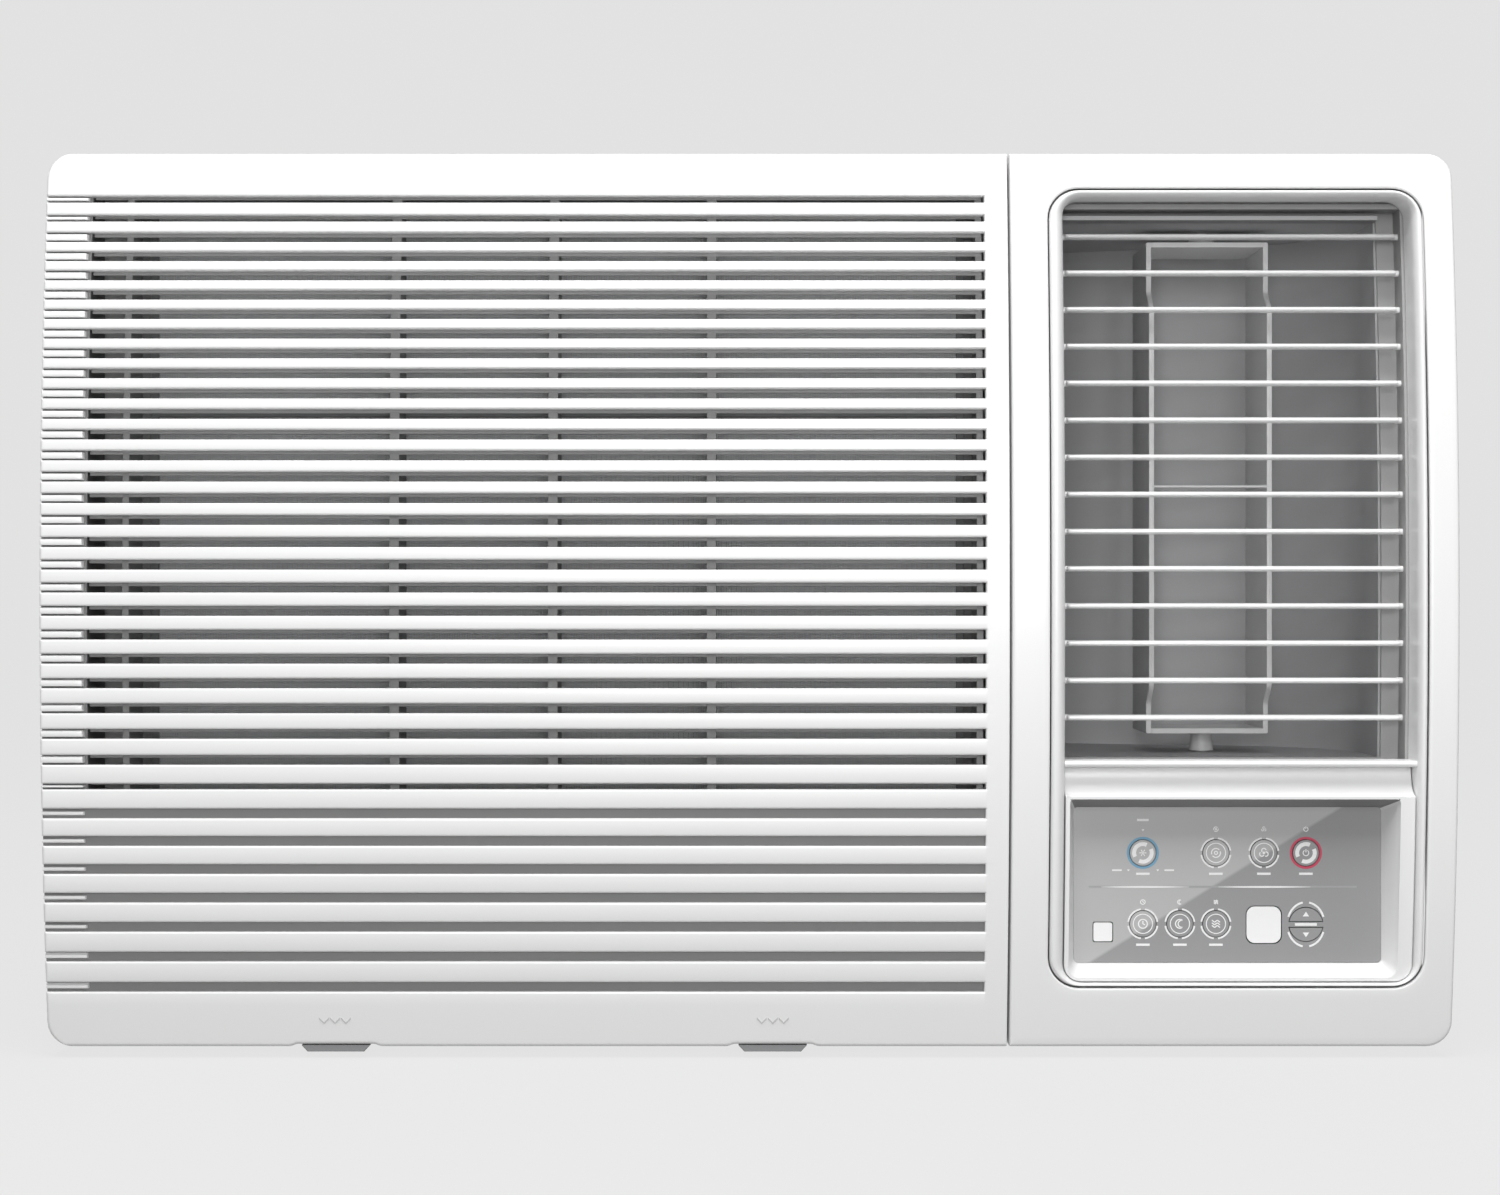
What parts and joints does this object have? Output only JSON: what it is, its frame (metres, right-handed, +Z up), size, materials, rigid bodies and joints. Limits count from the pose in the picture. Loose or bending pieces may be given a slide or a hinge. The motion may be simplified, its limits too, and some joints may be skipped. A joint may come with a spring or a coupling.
{
  "type": "window air conditioner",
  "caption": "Boxy window air conditioner with a crowned slotted intake panel that lifts, an air outlet with tilting louvre blades and a swing vane, and a recessed key panel.",
  "frame": {"origin": "centre of the cabinet's base, on the surface it stands on", "axes": "+X to the right as seen from the room, -Y out of the front into the room, +Z up"},
  "size_m": [0.668, 0.7, 0.43],
  "materials": {
    "white_plastic": "satin moulded",
    "cabinet_paint": "powder coat, semi-matt",
    "galvanised": "galvanised sheet",
    "steel": "bright zinc",
    "foam_grey": "moulded, matt",
    "duct_grey": "moulded, matt",
    "fins": "thin pressed fins",
    "copper": "drawn copper",
    "motor_paint": "painted can",
    "wheel_plastic": "glass filled, matt",
    "compressor_paint": "semi-gloss black",
    "rubber": "matt",
    "board": "solder mask",
    "filter_plastic": "moulded, matt",
    "filter_net": "woven net",
    "frame_grey": "satin moulded",
    "overlay": "printed glossy sheet",
    "key_face": "printed glossy sheet",
    "lens_white": "glossy lens"
  },
  "bodies": {
    "cabinet": {"cabinet_shell": "cabinet_paint", "cabinet_screws": "steel"},
    "chassis": {"base_pan": "galvanised", "bulkhead": "galvanised", "blower_housing": "foam_grey", "air_chute": "duct_grey", "evaporator_fins": "fins", "evaporator_tubes": "copper", "condenser_fins": "fins", "condenser_tubes": "copper", "fan_shroud": "galvanised", "fan_motor": "motor_paint", "motor_bracket": "galvanised", "compressor": "compressor_paint", "compressor_mounts": "rubber", "refrigerant_pipes": "copper", "control_box": "galvanised", "control_electronics": "board", "swing_motor": "steel", "front_frame": "white_plastic", "hinge_pins": "steel", "outlet_panel": "white_plastic", "outlet_bezel": "white_plastic", "louvre_frame": "frame_grey", "control_housing": "white_plastic", "control_overlay": "overlay", "display_window": "lens_white", "receiver_window": "lens_white", "cord_grommet": "rubber"},
    "door": {"intake_grille": "white_plastic"},
    "filter": {"filter_frame": "filter_plastic", "filter_mesh": "filter_net"},
    "fan_rotor": {"motor_shaft": "steel", "blower_wheel": "wheel_plastic", "condenser_fan": "wheel_plastic"},
    "link": {"louvre_link": "frame_grey"},
    "vane": {"swing_vane": "frame_grey"},
    "cool_key": {"key_cool": "key_face"},
    "mode_key": {"key_mode": "key_face"},
    "speed_key": {"key_speed": "key_face"},
    "power_key": {"key_power": "key_face"},
    "timer_key": {"key_timer": "key_face"},
    "sleep_key": {"key_sleep": "key_face"},
    "swing_key": {"key_swing": "key_face"},
    "up_key": {"key_up": "key_face"},
    "down_key": {"key_down": "key_face"},
    "blade_1": {"louvre_blade_1": "white_plastic"},
    "blade_2": {"louvre_blade_2": "white_plastic"},
    "blade_3": {"louvre_blade_3": "white_plastic"},
    "blade_4": {"louvre_blade_4": "white_plastic"},
    "blade_5": {"louvre_blade_5": "white_plastic"},
    "blade_6": {"louvre_blade_6": "white_plastic"},
    "blade_7": {"louvre_blade_7": "white_plastic"},
    "blade_8": {"louvre_blade_8": "white_plastic"},
    "blade_9": {"louvre_blade_9": "white_plastic"},
    "blade_10": {"louvre_blade_10": "white_plastic"},
    "blade_11": {"louvre_blade_11": "white_plastic"},
    "blade_12": {"louvre_blade_12": "white_plastic"},
    "blade_13": {"louvre_blade_13": "white_plastic"},
    "blade_14": {"louvre_blade_14": "white_plastic"}
  },
  "joints": [
    {"name": "chassis_slide", "type": "slide", "parent": "cabinet", "child": "chassis", "axis": [0, -1, 0], "range_m": [0, 0.5]},
    {"name": "door_hinge", "type": "hinge", "parent": "chassis", "child": "door", "pos_m": [0, -0.287, 0.424], "axis": [-1, 0, 0], "range_deg": [0, 60]},
    {"name": "filter_slide", "type": "slide", "parent": "door", "child": "filter", "axis": [0, 0, -1], "range_m": [0, 0.4]},
    {"name": "fan_spin", "type": "hinge", "parent": "chassis", "child": "fan_rotor", "pos_m": [-0.085, 0, 0.215], "axis": [0, 1, 0], "continuous": true},
    {"name": "vane_swing", "type": "hinge", "parent": "chassis", "child": "vane", "pos_m": [0.227, -0.245, 0.27], "axis": [0, 0, 1], "range_deg": [-35, 35]},
    {"name": "blade_1_tilt", "type": "hinge", "parent": "chassis", "child": "blade_1", "pos_m": [0.23, -0.30453, 0.3931], "axis": [1, 0, 0], "range_deg": [-30, 30]},
    {"name": "blade_2_tilt", "type": "hinge", "parent": "chassis", "child": "blade_2", "pos_m": [0.23, -0.30704, 0.37525], "axis": [1, 0, 0], "range_deg": [-30, 30]},
    {"name": "blade_3_tilt", "type": "hinge", "parent": "chassis", "child": "blade_3", "pos_m": [0.23, -0.30928, 0.3574], "axis": [1, 0, 0], "range_deg": [-30, 30]},
    {"name": "blade_4_tilt", "type": "hinge", "parent": "chassis", "child": "blade_4", "pos_m": [0.23, -0.31125, 0.33955], "axis": [1, 0, 0], "range_deg": [-30, 30]},
    {"name": "blade_5_tilt", "type": "hinge", "parent": "chassis", "child": "blade_5", "pos_m": [0.23, -0.31295, 0.3217], "axis": [1, 0, 0], "range_deg": [-30, 30]},
    {"name": "blade_6_tilt", "type": "hinge", "parent": "chassis", "child": "blade_6", "pos_m": [0.23, -0.31438, 0.30385], "axis": [1, 0, 0], "range_deg": [-30, 30]},
    {"name": "blade_7_tilt", "type": "hinge", "parent": "chassis", "child": "blade_7", "pos_m": [0.23, -0.31554, 0.286], "axis": [1, 0, 0], "range_deg": [-30, 30]},
    {"name": "blade_8_tilt", "type": "hinge", "parent": "chassis", "child": "blade_8", "pos_m": [0.23, -0.31643, 0.26815], "axis": [1, 0, 0], "range_deg": [-30, 30]},
    {"name": "blade_9_tilt", "type": "hinge", "parent": "chassis", "child": "blade_9", "pos_m": [0.23, -0.31705, 0.2503], "axis": [1, 0, 0], "range_deg": [-30, 30]},
    {"name": "blade_10_tilt", "type": "hinge", "parent": "chassis", "child": "blade_10", "pos_m": [0.23, -0.31741, 0.23245], "axis": [1, 0, 0], "range_deg": [-30, 30]},
    {"name": "blade_11_tilt", "type": "hinge", "parent": "chassis", "child": "blade_11", "pos_m": [0.23, -0.3175, 0.2146], "axis": [1, 0, 0], "range_deg": [-30, 30]},
    {"name": "blade_12_tilt", "type": "hinge", "parent": "chassis", "child": "blade_12", "pos_m": [0.23, -0.31732, 0.19675], "axis": [1, 0, 0], "range_deg": [-30, 30]},
    {"name": "blade_13_tilt", "type": "hinge", "parent": "chassis", "child": "blade_13", "pos_m": [0.23, -0.31688, 0.1789], "axis": [1, 0, 0], "range_deg": [-30, 30]},
    {"name": "blade_14_tilt", "type": "hinge", "parent": "chassis", "child": "blade_14", "pos_m": [0.23, -0.31617, 0.16105], "axis": [1, 0, 0], "range_deg": [-30, 30]},
    {"name": "link_pivot", "type": "hinge", "parent": "blade_1", "child": "link", "pos_m": [0.151, -0.29953, 0.3931], "axis": [1, 0, 0], "range_deg": [-30, 30]},
    {"name": "cool_press", "type": "slide", "parent": "chassis", "child": "cool_key", "axis": [0, 1, 0], "range_m": [0, 0.0006], "stiffness_N_per_m": 600, "springref_m": -0.0005},
    {"name": "mode_press", "type": "slide", "parent": "chassis", "child": "mode_key", "axis": [0, 1, 0], "range_m": [0, 0.0006], "stiffness_N_per_m": 600, "springref_m": -0.0005},
    {"name": "speed_press", "type": "slide", "parent": "chassis", "child": "speed_key", "axis": [0, 1, 0], "range_m": [0, 0.0006], "stiffness_N_per_m": 600, "springref_m": -0.0005},
    {"name": "power_press", "type": "slide", "parent": "chassis", "child": "power_key", "axis": [0, 1, 0], "range_m": [0, 0.0006], "stiffness_N_per_m": 600, "springref_m": -0.0005},
    {"name": "timer_press", "type": "slide", "parent": "chassis", "child": "timer_key", "axis": [0, 1, 0], "range_m": [0, 0.0006], "stiffness_N_per_m": 600, "springref_m": -0.0005},
    {"name": "sleep_press", "type": "slide", "parent": "chassis", "child": "sleep_key", "axis": [0, 1, 0], "range_m": [0, 0.0006], "stiffness_N_per_m": 600, "springref_m": -0.0005},
    {"name": "swing_press", "type": "slide", "parent": "chassis", "child": "swing_key", "axis": [0, 1, 0], "range_m": [0, 0.0006], "stiffness_N_per_m": 600, "springref_m": -0.0005},
    {"name": "up_press", "type": "slide", "parent": "chassis", "child": "up_key", "axis": [0, 1, 0], "range_m": [0, 0.0006], "stiffness_N_per_m": 600, "springref_m": -0.0005},
    {"name": "down_press", "type": "slide", "parent": "chassis", "child": "down_key", "axis": [0, 1, 0], "range_m": [0, 0.0006], "stiffness_N_per_m": 600, "springref_m": -0.0005}
  ],
  "couplings": [
    {"joint": "blade_2_tilt", "follows": "blade_1_tilt", "ratio": 1},
    {"joint": "blade_3_tilt", "follows": "blade_1_tilt", "ratio": 1},
    {"joint": "blade_4_tilt", "follows": "blade_1_tilt", "ratio": 1},
    {"joint": "blade_5_tilt", "follows": "blade_1_tilt", "ratio": 1},
    {"joint": "blade_6_tilt", "follows": "blade_1_tilt", "ratio": 1},
    {"joint": "blade_7_tilt", "follows": "blade_1_tilt", "ratio": 1},
    {"joint": "blade_8_tilt", "follows": "blade_1_tilt", "ratio": 1},
    {"joint": "blade_9_tilt", "follows": "blade_1_tilt", "ratio": 1},
    {"joint": "blade_10_tilt", "follows": "blade_1_tilt", "ratio": 1},
    {"joint": "blade_11_tilt", "follows": "blade_1_tilt", "ratio": 1},
    {"joint": "blade_12_tilt", "follows": "blade_1_tilt", "ratio": 1},
    {"joint": "blade_13_tilt", "follows": "blade_1_tilt", "ratio": 1},
    {"joint": "blade_14_tilt", "follows": "blade_1_tilt", "ratio": 1},
    {"joint": "link_pivot", "follows": "blade_1_tilt", "ratio": -1}
  ]
}
